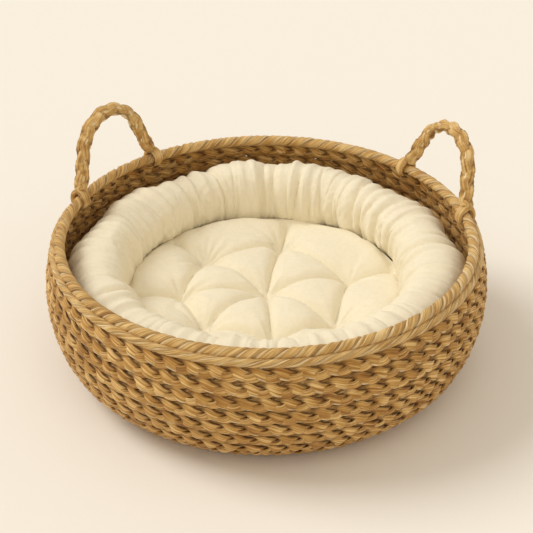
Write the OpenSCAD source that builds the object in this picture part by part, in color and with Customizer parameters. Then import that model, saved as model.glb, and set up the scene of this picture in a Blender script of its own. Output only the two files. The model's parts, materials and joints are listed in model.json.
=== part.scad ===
// Round woven basket bed for a small pet.
// A flat plait is coiled into the base and stitched up the wall, a wire-stiffened rope
// finishes the rim, two plaited handles fold on that rope, and the cushion lifts out.
// Millimetres, +Z up, origin on the ground at the centre of the base.

/* [Wall] */
// Outer radius at the belly, the widest part of the wall
belly_r = 250; // [230:1:270]
// Height of the belly above the ground
belly_z = 96; // [92:1:100]
// Radius of the wall's curve above the belly
upper_bend = 165; // [150:1:200]
// Radius of the wall's curve just below the belly
lower_bend = 147; // [140:1:150]
// How far that lower curve sweeps before the tighter corner, in degrees
lower_sweep = 22; // [20:1:24]
// Height at which the plaited wall ends under the rim
wall_top_z = 142; // [138:1:142]
// Width that one course of plait takes up the wall
course_pitch = 17; // [16.5:0.1:17]
// Thickness of the plait
plait_t = 9; // [8:0.5:9]
// Slack left between neighbouring courses
course_gap = 0.3; // [0.2:0.1:0.5]

/* [Rim] */
// Radius of the circle that the rim rope lies on
rim_r = 231.6; // [231:0.1:232]
// Height of the rim rope's centre
rim_z = 152.4; // [152:0.1:153]
// Radius of the rim rope itself
rim_rope_r = 5; // [4.5:0.1:5]
// Radius of the circle of the thinner binder rope, outside and below the rim rope
binder_r = 238.6; // [238.4:0.1:238.8]
// Height of the binder rope's centre
binder_z = 146.3; // [146.1:0.1:146.5]
// Radius of the binder rope itself
binder_rope_r = 4; // [3.5:0.1:4]
// Radius of the steel wire inside the rim rope
hoop_wire_r = 2; // [1.5:0.1:2.5]

/* [Handles] */
// Angle of each handle from the back of the basket, in degrees
handle_azimuth = 59; // [50:1:70]
// Half of the distance between a handle's two feet
foot_half_span = 66; // [64:1:68]
// Height of the left arch's centre line above the rim rope's centre
arch_height_left = 86; // [80:1:100]
// Height of the right arch's centre line above the rim rope's centre
arch_height_right = 80; // [80:1:100]
// Radius of the round top of the arch
arch_r = 50; // [40:1:50]
// Width of the handle plait in the plane of the arch
handle_w = 18; // [16:0.5:18]
// Thickness of the handle plait
handle_t = 14; // [12:0.5:14]
// Outward lean of the left handle at rest, in degrees
lean_left = 9; // [0:1:15]
// Outward lean of the right handle at rest, in degrees
lean_right = 15; // [0:1:15]
// Radius of the hole in the eye that goes round the rim rope
eye_hole_r = 8; // [7.8:0.1:8.2]
// Outer radius of the eye
eye_r = 11; // [10.5:0.1:11]
// Width of the eye along the rim
eye_w = 11; // [9:0.5:11]
// Radius of the wire core inside the handle plait
core_wire_r = 1.5; // [1:0.1:2]

/* [Cushion] */
// Outer radius of the bolster ring
bolster_r = 216.5; // [210:0.5:217]
// Width of the bolster's tube
bolster_w = 56; // [50:1:58]
// Height of the bolster's top
bolster_top_z = 137; // [125:1:138]
// Height of the pad's outer shelf, which carries the bolster
shelf_z = 59.6; // [55:0.1:62]
// Outer radius of the pad's shelf
shelf_r = 212; // [205:1:214]
// Height of the pad's raised middle
pad_top_z = 84; // [80:1:88]
// Radius of the pad's raised middle
pad_r = 158; // [150:1:158]
// Radius of the circle of outer tufts
tuft_circle_r = 100; // [90:1:110]
// Angle from +X of each of the seven tufts on that circle, in degrees
tuft_angles = [20, 85, 143, 190, 230, 278, 325]; // [-10:1:350]
// Depth of the shallow dimple at each tuft
tuft_depth = 3.5; // [2:0.5:4]
// Thickness of the cover fabric
cover_t = 1.2; // [0.8:0.1:1.5]

/* [Hidden] */
section_fn = 32;
ring_fn = 120;
half_t = plait_t / 2;

// The wall's corner curve ends flat on the ground, at base_edge_r
corner_bend = (belly_z - lower_bend * sin(lower_sweep)) / (1 - sin(lower_sweep));
base_edge_r = belly_r - lower_bend * (1 - cos(lower_sweep)) - corner_bend * cos(lower_sweep);

// Lengths of the wall's three curves, along the middle of the plait
degree = PI / 180;
corner_length = (corner_bend - half_t) * (90 - lower_sweep) * degree;
lower_length = (lower_bend - half_t) * lower_sweep * degree;
upper_angle = asin((wall_top_z - belly_z) / (upper_bend - half_t));
upper_length = (upper_bend - half_t) * upper_angle * degree;
wall_length = corner_length + lower_length + upper_length;
courses = floor(wall_length / course_pitch);
first_course_start = wall_length - courses * course_pitch;

// The base coil
base_r = base_edge_r + first_course_start - course_gap;
coil_step = 10;
coil_end_w = 2;

// Stitching
thread_r = 0.7;
stitches_per_seam = 12;
stitch_length = 9;
base_threads = 8;
base_thread_start = 10;

// The handles' frame: the feet lie on the rim rope, and the chord joins them
chord_distance = sqrt(pow(rim_r, 2) - pow(foot_half_span, 2));
function arch_centre(height) = height - arch_r;
function foot_reach(height) = sqrt(pow(foot_half_span, 2) + pow(arch_centre(height), 2));
function leg_slope(height) =
    acos(arch_r / foot_reach(height)) - atan2(arch_centre(height), foot_half_span);
function leg_length(height) = sqrt(pow(foot_reach(height), 2) - pow(arch_r, 2));
leg_overlap = 2;
leg_slimmer = 0.2;
core_slimmer = 0.1;
leg_start_r = 9.5;
eye_clearance = 0.6;
core_clearance = 0.1;
core_start = 13;

// The cushion
cushion_gap = 0.5;
filling_gap = 0.2;
pad_edge_round = 12;
dimple_top_r = 24;
dimple_bottom_r = 2;
tie_r = 0.8;
knot_r = 2.2;
seam_r = 0.8;
cushion_bottom_z = plait_t + cushion_gap;
bolster_tube_r = bolster_w / 2;
bolster_mid_r = bolster_r - bolster_tube_r;
bolster_low_z = shelf_z + 0.4 + bolster_tube_r;
tuft_z = pad_top_z - tuft_depth;
bolster_high_z = bolster_top_z - bolster_tube_r;
inner_corner_r = corner_bend - plait_t - cushion_gap;

function course_name(i) = str("wall_course_", i < 10 ? "0" : "", i);
COURSE_NODES = [for (i = [1:courses]) course_name(i)];

straw = [0.80, 0.64, 0.40];
straw_rope = [0.84, 0.69, 0.45];
steel = [0.62, 0.63, 0.65];
linen_thread = [0.72, 0.58, 0.38];
ivory = [0.95, 0.91, 0.80];
wadding = [0.97, 0.96, 0.92];

// ---- Shapes shared by several parts ----

// A flat band's cross-section: straight sides and round edges
module stadium(length, thickness) {
    square([length - thickness, thickness], center = true);
    for (side = [-1, 1])
        translate([side * (length - thickness) / 2, 0]) circle(d = thickness, $fn = section_fn);
}

module ring(ring_r, z, tube_r) {
    rotate_extrude($fn = ring_fn) translate([ring_r, z]) circle(r = tube_r, $fn = section_fn);
}

// A point of the wall's middle line, a length s up the wall from the edge of the flat base:
// [radius, height, tilt], where the tilt is 0 on the ground and 90 at the belly
function on_corner(s) =
    let (tilt = s / (corner_bend - half_t) / degree)
    [base_edge_r + (corner_bend - half_t) * sin(tilt),
     corner_bend - (corner_bend - half_t) * cos(tilt), tilt];
function on_lower(s) =
    let (tilt = 90 - lower_sweep + s / (lower_bend - half_t) / degree)
    [belly_r - lower_bend + (lower_bend - half_t) * sin(tilt),
     belly_z - (lower_bend - half_t) * cos(tilt), tilt];
function on_upper(s) =
    let (tilt = 90 + s / (upper_bend - half_t) / degree)
    [belly_r - upper_bend + (upper_bend - half_t) * sin(tilt),
     belly_z - (upper_bend - half_t) * cos(tilt), tilt];
function wall_point(s) =
    s < corner_length ? on_corner(s)
    : s < corner_length + lower_length ? on_lower(s - corner_length)
    : on_upper(s - corner_length - lower_length);

// Course 1 is the top one
function course_middle(i) = wall_length - (i - 0.5) * course_pitch;

// ---- Basket ----

// One flat plait wound from the centre outwards
module base_coil() {
    strip = course_pitch - course_gap;
    steps_per_turn = 360 / coil_step;
    first = steps_per_turn / 2 + 1;
    last = floor((base_r - coil_end_w + strip / 2) / course_pitch * steps_per_turn);
    function middle(step) = course_pitch * step / steps_per_turn;
    function spot(r, step) = r * [cos(step * coil_step), sin(step * coil_step)];
    outer_edge = [for (k = [0:last]) spot(min(middle(k) + strip / 2, base_r), k)];
    inner_edge = [for (k = [last:-1:first]) spot(middle(k) - strip / 2, k)];
    color(straw) linear_extrude(plait_t) polygon(concat([[0, 0]], outer_edge, inner_edge));
}

module wall_course(i) {
    p = wall_point(course_middle(i));
    color(straw) rotate_extrude($fn = ring_fn)
        translate([p[0], p[1]]) rotate(p[2]) stadium(course_pitch - course_gap, plait_t);
}

// The thinner rope laid against the wall's top edge, notched where the handles' eyes turn
module binder_rope() {
    color(straw_rope) difference() {
        ring(binder_r, binder_z, binder_rope_r);
        for (side = [-1, 1]) at_handle(side, 0) for (end = [-1, 1])
            translate([end * foot_half_span, 0, 0]) rotate([0, 90, 0])
                cylinder(r = eye_r + eye_clearance, h = eye_w + 2 * eye_clearance,
                         center = true, $fn = section_fn);
    }
}

module rim_rope() {
    color(straw_rope) difference() {
        ring(rim_r, rim_z, rim_rope_r);
        ring(rim_r, rim_z, hoop_wire_r);
    }
}

module rim_hoop() {
    color(steel) ring(rim_r, rim_z, hoop_wire_r);
}

// A stitch between two points of the wall's section, [radius, height]
module stitch(from, to) {
    run = to - from;
    translate([from[0], 0, from[1]]) rotate([0, 90 - atan2(run[1], run[0]), 0])
        cylinder(r = thread_r, h = norm(run), $fn = section_fn);
}

// Short stitches across every seam of the wall, the rim's lashing, and the base's long threads
module seam_thread() {
    top = wall_point(wall_length - plait_t / 2);
    binder = [binder_r, binder_z];
    rim = [rim_r, rim_z];
    rim_entry = rim + (binder - rim) / norm(binder - rim) * (rim_rope_r + hoop_wire_r) / 2;
    color(linen_thread) {
        for (turn = [0:stitches_per_seam - 1]) {
            for (seam = [1:courses - 1]) {
                p = wall_point(wall_length - seam * course_pitch);
                along = [cos(p[2]), sin(p[2])] * stitch_length / 2;
                middle = [p[0], p[1]];
                rotate((turn + (seam % 2) / 2) * 360 / stitches_per_seam)
                    stitch(middle - along, middle + along);
            }
            rotate(turn * 360 / stitches_per_seam) {
                stitch([top[0], top[1]], binder);
                stitch(binder + [0, 2 * thread_r], rim_entry + [0, 2 * thread_r]);
            }
        }
        for (turn = [0:base_threads - 1]) rotate(turn * 360 / base_threads)
            stitch([base_thread_start, half_t], [base_edge_r + stitch_length, half_t + 0.6]);
    }
}

// ---- Handles: side is -1 for the left one and 1 for the right one ----

// Moves the handle's own frame to the rim: X along the chord, Y outwards, Z up the arch
module at_handle(side, lean) {
    rotate(-side * handle_azimuth) translate([0, chord_distance, rim_z])
        rotate([-lean, 0, 0]) children();
}

// A band that follows the arch: two straight legs, a little slimmer, let into a round top
module arch(height, start, width, thickness) {
    slope = leg_slope(height);
    rotate([90, 0, 0]) translate([0, arch_centre(height), 0]) rotate(slope)
        rotate_extrude(angle = 180 - 2 * slope, $fn = ring_fn)
            translate([arch_r, 0]) stadium(width, thickness);
    for (end = [0, 1]) mirror([end, 0, 0])
        translate([foot_half_span, 0, 0]) rotate([0, -slope, 0]) translate([0, 0, start])
            linear_extrude(leg_length(height) + leg_overlap - start)
                stadium(width - 2 * leg_slimmer, thickness - 2 * leg_slimmer);
}

module wire_arch(height, wire_r) {
    slope = leg_slope(height);
    rotate([90, 0, 0]) translate([0, arch_centre(height), 0]) rotate(slope)
        rotate_extrude(angle = 180 - 2 * slope, $fn = ring_fn)
            translate([arch_r, 0]) circle(r = wire_r, $fn = section_fn);
    for (end = [0, 1]) mirror([end, 0, 0])
        translate([foot_half_span, 0, 0]) rotate([0, -slope, 0]) translate([0, 0, core_start])
            cylinder(r = wire_r - core_slimmer,
                     h = leg_length(height) + leg_overlap / 2 - core_start, $fn = section_fn);
}

module foot_axis_cylinder(end, r, length) {
    translate([end * foot_half_span, 0, 0]) rotate([0, 90, 0])
        cylinder(r = r, h = length, center = true, $fn = section_fn);
}

// The plait, with an eye at each foot that turns on the rim rope
module handle(side, lean, height) {
    color(straw) at_handle(side, lean) difference() {
        union() {
            difference() {
                arch(height, 0, handle_w, handle_t);
                for (end = [-1, 1]) foot_axis_cylinder(end, leg_start_r, 4 * eye_w);
            }
            for (end = [-1, 1]) foot_axis_cylinder(end, eye_r, eye_w);
        }
        for (end = [-1, 1]) foot_axis_cylinder(end, eye_hole_r, 2 * eye_w);
        wire_arch(height, core_wire_r + core_clearance);
    }
}

module handle_core(side, lean, height) {
    color(steel) at_handle(side, lean) wire_arch(height, core_wire_r);
}

// ---- Cushion ----

module bolster(inset) {
    rotate_extrude($fn = ring_fn) {
        for (z = [bolster_low_z, bolster_high_z])
            translate([bolster_mid_r, z])
                circle(r = bolster_tube_r - inset, $fn = 2 * section_fn);
        translate([bolster_mid_r - bolster_tube_r + inset, bolster_low_z])
            square([2 * (bolster_tube_r - inset), bolster_high_z - bolster_low_z]);
    }
}

module bolster_cover() {
    color(ivory) difference() {
        bolster(0);
        bolster(cover_t);
    }
}

module bolster_filling() {
    color(wadding) bolster(cover_t + filling_gap);
}

// The shelf's lower edge is rounded to sit in the basket's corner
module pad_profile(inset) {
    bottom = cushion_bottom_z + inset;
    translate([0, bottom]) square([base_edge_r, shelf_z - inset - bottom]);
    intersection() {
        translate([base_edge_r, corner_bend])
            circle(r = inner_corner_r - inset, $fn = 4 * section_fn);
        translate([base_edge_r - 1, bottom])
            square([shelf_r - inset - base_edge_r + 1, shelf_z - inset - bottom]);
    }
    round_z = pad_top_z - pad_edge_round;
    round_r = pad_r - pad_edge_round;
    translate([0, bottom]) square([round_r, pad_top_z - inset - bottom]);
    translate([0, bottom]) square([pad_r - inset, round_z - bottom]);
    translate([round_r, round_z]) circle(r = pad_edge_round - inset, $fn = section_fn);
}

function tuft_places() =
    concat([[0, 0]], [for (a = tuft_angles) tuft_circle_r * [cos(a), sin(a)]]);

module pad(inset) {
    difference() {
        rotate_extrude($fn = ring_fn) pad_profile(inset);
        for (place = tuft_places())
            translate([place[0], place[1], tuft_z - inset])
                cylinder(r1 = dimple_bottom_r + inset, r2 = dimple_top_r + inset,
                         h = pad_top_z - tuft_z + inset, $fn = section_fn);
    }
}

module pad_cover() {
    color(ivory) difference() {
        pad(0);
        pad(cover_t);
    }
}

module pad_filling() {
    color(wadding) pad(cover_t + filling_gap);
}

// The thread ring that sews the bolster to the shelf
module bolster_seam() {
    color(ivory) ring(bolster_mid_r, shelf_z + 0.2, seam_r);
}

// One thread through the pad at each tuft, with a knot on top
module tuft_ties() {
    color(ivory) for (place = tuft_places()) translate([place[0], place[1], 0]) {
        translate([0, 0, cushion_bottom_z])
            cylinder(r = tie_r, h = tuft_z - cushion_bottom_z, $fn = section_fn);
        translate([0, 0, tuft_z]) sphere(r = knot_r, $fn = section_fn);
    }
}

base_coil();
for (i = [1:courses])
    wall_course(i);
binder_rope();
rim_rope();
rim_hoop();
seam_thread();
handle(-1, lean_left, arch_height_left);  // handle_left
handle_core(-1, lean_left, arch_height_left);  // handle_left_core
handle(1, lean_right, arch_height_right);  // handle_right
handle_core(1, lean_right, arch_height_right);  // handle_right_core
bolster_cover();
bolster_filling();
pad_cover();
pad_filling();
bolster_seam();
tuft_ties();
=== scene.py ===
import json
import math

import bpy
import numpy as np
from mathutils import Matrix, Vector


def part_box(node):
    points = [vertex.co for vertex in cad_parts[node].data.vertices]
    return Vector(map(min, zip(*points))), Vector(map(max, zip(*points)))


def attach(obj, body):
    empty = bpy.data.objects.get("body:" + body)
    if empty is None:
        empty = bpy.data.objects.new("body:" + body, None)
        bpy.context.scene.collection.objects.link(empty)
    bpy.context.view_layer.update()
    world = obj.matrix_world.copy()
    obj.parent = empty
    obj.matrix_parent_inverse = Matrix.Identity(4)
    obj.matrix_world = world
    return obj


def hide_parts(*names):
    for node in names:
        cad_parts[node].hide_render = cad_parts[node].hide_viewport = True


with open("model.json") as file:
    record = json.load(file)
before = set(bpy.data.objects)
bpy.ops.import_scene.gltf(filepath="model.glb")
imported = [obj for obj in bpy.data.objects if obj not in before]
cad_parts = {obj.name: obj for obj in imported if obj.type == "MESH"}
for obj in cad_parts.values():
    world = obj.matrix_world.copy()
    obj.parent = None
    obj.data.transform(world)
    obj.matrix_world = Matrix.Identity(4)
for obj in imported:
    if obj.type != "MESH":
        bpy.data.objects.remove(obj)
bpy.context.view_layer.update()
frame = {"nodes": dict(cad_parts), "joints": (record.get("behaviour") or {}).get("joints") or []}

# Lengths are in millimetres until a mesh is made, unless a name or a comment says otherwise.
MM = 0.001
TAU = 2 * math.pi
rng = np.random.default_rng(11)

# ---- Camera, lights and floor (metres) ----

CAMERA_TARGET = Vector((0, 0, 0.108))
CAMERA_DISTANCE = 1.526
CAMERA_AZIMUTH = math.radians(5)
CAMERA_ELEVATION = math.radians(32.2)
CAMERA_LENS_MM = 90
SENSOR_MM = 36
# Each lamp's azimuth, elevation and softness in degrees, its strength and its colour.
KEY_LIGHT = (170, 47, 30, 1.42, (1.0, 0.99, 0.96))
FILL_LIGHT = (-75, 50, 60, 0.35, (1.0, 0.95, 0.87))
SKY_COLOUR = (1.0, 0.90, 0.75)
SKY_STRENGTH = 0.62
FLOOR_SIZE = 12
FLOOR_COLOUR = (0.93, 0.90, 0.85)
FLOOR_ROUGHNESS = 0.9


def add_object(name, data):
    thing = bpy.data.objects.new(name, data)
    bpy.context.scene.collection.objects.link(thing)
    return thing


def add_camera():
    data = bpy.data.cameras.new("camera")
    data.lens = CAMERA_LENS_MM
    data.sensor_width = SENSOR_MM
    camera = add_object("camera", data)
    back = Vector((
        math.sin(CAMERA_AZIMUTH) * math.cos(CAMERA_ELEVATION),
        -math.cos(CAMERA_AZIMUTH) * math.cos(CAMERA_ELEVATION),
        math.sin(CAMERA_ELEVATION),
    ))
    camera.location = CAMERA_TARGET + back * CAMERA_DISTANCE
    camera.rotation_euler = back.to_track_quat("Z", "Y").to_euler()
    bpy.context.scene.camera = camera


def add_sun(name, azimuth, elevation, softness, strength, colour):
    """A distant lamp, so that the floor is lit evenly. Angles are in degrees; the azimuth is
    where the light comes from, anticlockwise from +X."""
    data = bpy.data.lights.new(name, "SUN")
    data.energy = strength
    data.angle = math.radians(softness)
    data.color = colour
    light = add_object(name, data)
    a, e = math.radians(azimuth), math.radians(elevation)
    source = Vector((math.cos(a) * math.cos(e), math.sin(a) * math.cos(e), math.sin(e)))
    light.rotation_euler = source.to_track_quat("Z", "Y").to_euler()


def add_studio():
    add_sun("key_light", *KEY_LIGHT)
    add_sun("fill_light", *FILL_LIGHT)
    world = bpy.data.worlds.new("studio")
    world.use_nodes = True
    background = world.node_tree.nodes["Background"]
    background.inputs["Color"].default_value = (*SKY_COLOUR, 1)
    background.inputs["Strength"].default_value = SKY_STRENGTH
    bpy.context.scene.world = world
    bpy.context.scene.view_settings.view_transform = "Standard"

    half = FLOOR_SIZE / 2
    mesh = bpy.data.meshes.new("floor")
    mesh.from_pydata([(-half, -half, 0), (half, -half, 0), (half, half, 0), (-half, half, 0)],
                     [], [(0, 1, 2, 3)])
    floor = add_object("floor", mesh)
    material, _, shader = new_material("floor_paper")
    shader.inputs["Base Color"].default_value = (*FLOOR_COLOUR, 1)
    shader.inputs["Roughness"].default_value = FLOOR_ROUGHNESS
    mesh.materials.append(material)


# ---- Materials ----

def new_material(name):
    material = bpy.data.materials.new(name)
    material.use_nodes = True
    return material, material.node_tree, material.node_tree.nodes["Principled BSDF"]


def grey(value):
    return (value, value, value)


def object_place(tree):
    return tree.nodes.new("ShaderNodeTexCoord").outputs["Object"]


def attribute(tree, name):
    node = tree.nodes.new("ShaderNodeAttribute")
    node.attribute_name = name
    return node


def scaled(tree, source, scale):
    """A vector times a scale for each axis."""
    node = tree.nodes.new("ShaderNodeMapping")
    node.inputs["Scale"].default_value = scale
    tree.links.new(source, node.inputs["Vector"])
    return node.outputs["Vector"]


def noise(tree, vector, scale, detail):
    node = tree.nodes.new("ShaderNodeTexNoise")
    node.inputs["Scale"].default_value = scale
    node.inputs["Detail"].default_value = detail
    tree.links.new(vector, node.inputs["Vector"])
    return node.outputs["Fac"]


def math_node(tree, operation, first, second):
    """Each argument is a socket or a number."""
    node = tree.nodes.new("ShaderNodeMath")
    node.operation = operation
    for socket, value in zip(node.inputs, (first, second)):
        if isinstance(value, (int, float)):
            socket.default_value = value
        else:
            tree.links.new(value, socket)
    return node.outputs[0]


def ramp(tree, factor, stops):
    """Colours, or greys, at places from 0 to 1."""
    node = tree.nodes.new("ShaderNodeValToRGB")
    elements = node.color_ramp.elements
    while len(elements) < len(stops):
        elements.new(0.5)
    for element, (place, colour) in zip(elements, stops):
        element.position = place
        element.color = (*colour, 1)
    tree.links.new(factor, node.inputs["Fac"])
    return node.outputs["Color"]


def mix_colour(tree, mode, factor, first, second):
    node = tree.nodes.new("ShaderNodeMix")
    node.data_type = "RGBA"
    node.blend_type = mode
    for socket, value in ((node.inputs[0], factor), (node.inputs[6], first), (node.inputs[7], second)):
        if isinstance(value, (int, float)):
            socket.default_value = value
        elif isinstance(value, tuple):
            socket.default_value = (*value, 1)
        else:
            tree.links.new(value, socket)
    return node.outputs[2]


def bump(tree, height, strength, distance, normal=None):
    node = tree.nodes.new("ShaderNodeBump")
    node.inputs["Strength"].default_value = strength
    node.inputs["Distance"].default_value = distance
    tree.links.new(height, node.inputs["Height"])
    if normal is not None:
        tree.links.new(normal, node.inputs["Normal"])
    return node.outputs["Normal"]


# Painted highlight: the pale colour put on each strand's leading edge.
PAINTED_HIGHLIGHT_STRAW = (1.0, 0.83, 0.54)
# How fast each pattern changes along a strand and across it.
STRIP_GRAIN = (0.02, 1.2, 1.2)
THREAD_GRAIN = (0.05, 2.6, 2.6)
BLOTCH_GRAIN = (0.07, 0.15, 0.15)
# What each pattern adds to a place's paleness, and what is taken off so that the mean is in the middle.
STRIP_SHARE = 0.85
BLOTCH_SHARE = 0.20
THREAD_SHARE = 0.3
TONE_SHARE = 0.18
PALENESS_OFFSET = 0.265


def straw_material(name, dark, middle, light, painted_shade_colour):
    """Dried leaf strips: fine fibres along each strand, paler and browner strips, painted shade in the
    plait's deep parts, and a painted highlight and painted shade along the strands' edges.
    """
    material, tree, shader = new_material(name)
    fibre = attribute(tree, "fibre").outputs["Vector"]
    strips = noise(tree, scaled(tree, fibre, STRIP_GRAIN), 1.0, 3.0)
    threads = noise(tree, scaled(tree, fibre, THREAD_GRAIN), 1.0, 5.0)
    blotch = noise(tree, scaled(tree, fibre, BLOTCH_GRAIN), 1.0, 2.0)
    tone = attribute(tree, "tone").outputs["Fac"]
    paleness = math_node(tree, "MULTIPLY", strips, STRIP_SHARE)
    for pattern, share in ((blotch, BLOTCH_SHARE), (threads, THREAD_SHARE), (tone, TONE_SHARE)):
        added = math_node(tree, "MULTIPLY", pattern, share)
        paleness = math_node(tree, "ADD", paleness, added)
    paleness = math_node(tree, "SUBTRACT", paleness, PALENESS_OFFSET)
    colour = ramp(tree, paleness, [(0.30, dark), (0.50, middle), (0.68, light)])
    # lead marks the edges: a painted highlight on one side, painted shade on the other.
    lead = attribute(tree, "lead").outputs["Fac"]
    painted_highlight = ramp(tree, lead, [(0.62, grey(0)), (0.92, grey(0.90))])
    colour = mix_colour(tree, "MIX", painted_highlight, colour, PAINTED_HIGHLIGHT_STRAW)
    # Painted shade along the edge that is tucked under the next strand.
    painted_edge_shade = ramp(tree, math_node(tree, "MULTIPLY", lead, -1.0),
                  [(0.70, grey(0)), (1.0, grey(0.75))])
    colour = mix_colour(tree, "MIX", painted_edge_shade, colour, painted_shade_colour)
    # Painted shade where a strand lies deep in the plait or rope.
    pit = ramp(tree, attribute(tree, "pit").outputs["Fac"],
               [(0.50, grey(0)), (1.0, grey(0.75))])
    colour = mix_colour(tree, "MIX", pit, colour, painted_shade_colour)
    tree.links.new(colour, shader.inputs["Base Color"])
    roughness = ramp(tree, threads, [(0.3, grey(0.78)), (0.7, grey(0.52))])
    tree.links.new(roughness, shader.inputs["Roughness"])
    shader.inputs["Specular IOR Level"].default_value = 0.35
    shader.inputs["Sheen Weight"].default_value = 0.08
    coarse = bump(tree, strips, 0.7, 0.0015)
    tree.links.new(bump(tree, threads, 0.9, 0.0010, coarse), shader.inputs["Normal"])
    return material


def cotton_material(name, colour, shade):
    """Soft plain-woven cotton: a fine weave, slubs and faint creases."""
    material, tree, shader = new_material(name)
    place = object_place(tree)
    threads = []
    for axis in ("X", "Y", "Z"):
        wave = tree.nodes.new("ShaderNodeTexWave")
        wave.bands_direction = axis
        wave.inputs["Scale"].default_value = 450
        wave.inputs["Distortion"].default_value = 1.5
        wave.inputs["Detail Scale"].default_value = 0.4
        tree.links.new(place, wave.inputs["Vector"])
        threads.append(wave.outputs["Fac"])
    weave = math_node(tree, "ADD", threads[0], threads[1])
    weave = math_node(tree, "ADD", weave, threads[2])
    slub = noise(tree, place, 240, 4.0)
    crease = noise(tree, place, 28, 5.0)
    tree.links.new(ramp(tree, slub, [(0.35, shade), (0.6, colour)]), shader.inputs["Base Color"])
    shader.inputs["Roughness"].default_value = 0.82
    shader.inputs["Specular IOR Level"].default_value = 0.25
    shader.inputs["Sheen Weight"].default_value = 0.2
    shader.inputs["Sheen Roughness"].default_value = 0.5
    creased = bump(tree, crease, 0.5, 0.005)
    tree.links.new(bump(tree, weave, 0.25, 0.0003, creased), shader.inputs["Normal"])
    return material


def plain_thread_material(name, colour):
    material, tree, shader = new_material(name)
    place = object_place(tree)
    twist = noise(tree, place, 1800, 2.0)
    tint = ramp(tree, twist, [(0.3, tuple(0.75 * c for c in colour)), (0.7, colour)])
    tree.links.new(tint, shader.inputs["Base Color"])
    shader.inputs["Roughness"].default_value = 0.7
    tree.links.new(bump(tree, twist, 0.4, 0.0003), shader.inputs["Normal"])
    return material


def steel_material():
    material, tree, shader = new_material("drawn_steel_wire")
    place = object_place(tree)
    scratches = noise(tree, place, 900, 2.0)
    colour = ramp(tree, scratches, [(0.3, (0.42, 0.43, 0.45)), (0.7, (0.62, 0.63, 0.65))])
    tree.links.new(colour, shader.inputs["Base Color"])
    shader.inputs["Metallic"].default_value = 1.0
    shader.inputs["Roughness"].default_value = 0.35
    return material


def wadding_material():
    """Loose polyester fibres."""
    material, tree, shader = new_material("polyester_wadding")
    place = object_place(tree)
    fluff = noise(tree, place, 240, 6.0)
    colour = ramp(tree, fluff, [(0.3, (0.78, 0.77, 0.74)), (0.7, (0.93, 0.92, 0.89))])
    tree.links.new(colour, shader.inputs["Base Color"])
    shader.inputs["Roughness"].default_value = 0.95
    tree.links.new(bump(tree, fluff, 0.6, 0.002), shader.inputs["Normal"])
    return material


# ---- Meshes ----

def mesh_object(name, vertices, loops, loop_starts, material):
    """Takes the vertices in millimetres, the corners of all faces one after the other, and where
    each face's corners start."""
    mesh = bpy.data.meshes.new(name)
    mesh.vertices.add(len(vertices))
    mesh.vertices.foreach_set("co", (vertices * MM).astype(np.float32).ravel())
    mesh.loops.add(len(loops))
    mesh.loops.foreach_set("vertex_index", loops.astype(np.int32))
    mesh.polygons.add(len(loop_starts))
    mesh.polygons.foreach_set("loop_start", loop_starts.astype(np.int32))
    mesh.update(calc_edges=True)
    mesh.shade_smooth()
    mesh.materials.append(material)
    return add_object(name, mesh)


def points_of(mesh):
    """A mesh's points, in metres."""
    co = np.empty(len(mesh.vertices) * 3, np.float32)
    mesh.vertices.foreach_get("co", co)
    return co.reshape(-1, 3).astype(float)


def move_points(mesh, co):
    mesh.vertices.foreach_set("co", co.astype(np.float32).ravel())
    mesh.update()


def store(mesh, name, kind, domain, values):
    layer = mesh.attributes.new(name, kind, domain)
    key = "vector" if kind == "FLOAT_VECTOR" else "value"
    layer.data.foreach_set(key, np.asarray(values, np.float32).ravel())


def smooth_step(t):
    t = np.clip(t, 0, 1)
    return t * t * (3 - 2 * t)


def unit(vectors):
    return vectors / np.linalg.norm(vectors, axis=-1, keepdims=True)


def measure(points, closed):
    """The direction of a line at each of its points, the length up to each, and its whole length."""
    if closed:
        steps = np.roll(points, -1, 0) - np.roll(points, 1, 0)
        gaps = np.linalg.norm(np.roll(points, -1, 0) - points, axis=1)
        lengths = np.concatenate([[0], np.cumsum(gaps)[:-1]])
    else:
        steps = np.gradient(points, axis=0)
        gaps = np.linalg.norm(np.diff(points, axis=0), axis=1)
        lengths = np.concatenate([[0], np.cumsum(gaps)])
    return unit(steps), lengths, gaps.sum()


def wander(count, waves, size, highest):
    """A smooth random value along a closed line, of about the given size."""
    place = TAU * np.arange(count) / count
    value = np.zeros(count)
    for _ in range(waves):
        value += np.sin(rng.integers(1, highest + 1) * place + rng.uniform(0, TAU))
    return value * size / math.sqrt(waves / 2)


SECTION = 18
RIDGES = 4
RIDGE_DEPTH = 0.05
RIDGE_TWIST = 55
FIBRE_RADIUS = 3.0
FIBRE_STARTS = 4000
STRAND_SQUARENESS = 2.7


def boxy(wave):
    """A sine or cosine with flatter tops, which makes a strand's section flat with round edges."""
    return np.sign(wave) * np.abs(wave) ** (2 / STRAND_SQUARENESS)


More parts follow.
